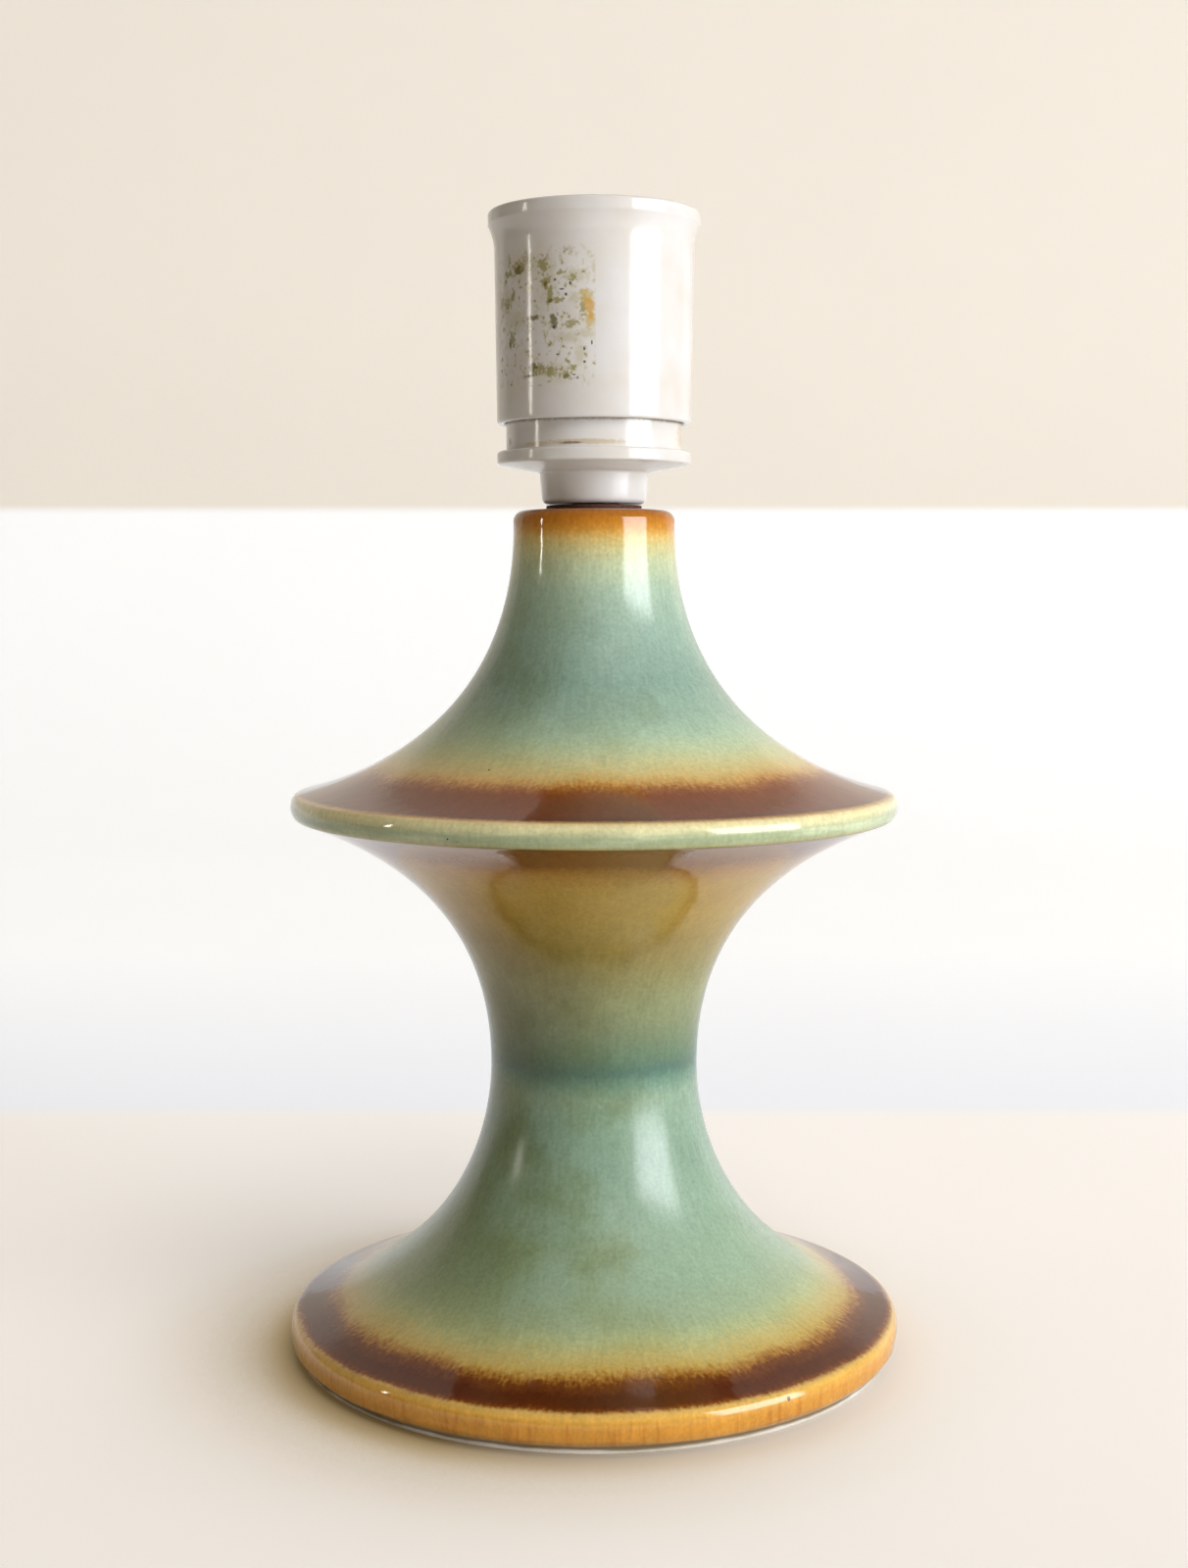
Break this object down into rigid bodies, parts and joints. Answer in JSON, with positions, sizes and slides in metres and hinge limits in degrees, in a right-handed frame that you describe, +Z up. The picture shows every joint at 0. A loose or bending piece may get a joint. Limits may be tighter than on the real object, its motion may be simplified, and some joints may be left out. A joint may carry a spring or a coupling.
{
  "type": "ceramic table lamp",
  "caption": "Glazed hollow ceramic table lamp base with a disc foot, narrow waist and wide upper disc, carrying a white screw-shell lampholder with a sliding clamp sleeve.",
  "frame": {"origin": "centre of the foot ring, on the surface that the lamp stands on", "axes": "+Z up along the lamp's axis, -Y to the front, the cable hole at +Y"},
  "size_m": [0.1252, 0.1252, 0.2293],
  "materials": {
    "glaze": "gloss glaze, blue-green with brown, amber and cream bands, bare clay on the foot ring",
    "red_fibre": "pressed red-brown fibre",
    "black_rubber": "matt",
    "zinc_steel": "zinc plated",
    "white_thermoset": "gloss moulded, stained with age",
    "porcelain": "glazed white porcelain",
    "nickelled_brass": "nickel plated, slightly dull",
    "brass": "bare"
  },
  "bodies": {
    "lamp": {"ceramic_body": "glaze", "fibre_washer": "red_fibre", "threaded_nipple": "zinc_steel", "neck_gasket": "black_rubber", "clamp_washer": "zinc_steel", "lock_washer": "zinc_steel", "hex_nut": "zinc_steel", "holder_cap": "white_thermoset", "cap_set_screw": "zinc_steel", "shell_guard": "white_thermoset", "insulator": "porcelain", "screw_shell": "nickelled_brass", "fixing_screw_front": "zinc_steel", "fixing_screw_rear": "zinc_steel", "neutral_rivet": "brass", "contact_rivet": "brass", "live_terminal": "brass", "neutral_terminal": "brass", "live_clamp_screw": "zinc_steel", "neutral_clamp_screw": "zinc_steel"},
    "sleeve": {"holder_sleeve": "white_thermoset"},
    "contact": {"centre_contact": "brass"}
  },
  "joints": [
    {"name": "sleeve_travel", "type": "slide", "parent": "lamp", "child": "sleeve", "axis": [0, 0, 1], "range_m": [-0.0052, 0.036]},
    {"name": "contact_bend", "type": "hinge", "parent": "lamp", "child": "contact", "pos_m": [-0.0039, 0, 0.19785], "axis": [0, 1, 0], "range_deg": [0, 8], "stiffness_Nm_per_rad": 0.05}
  ]
}
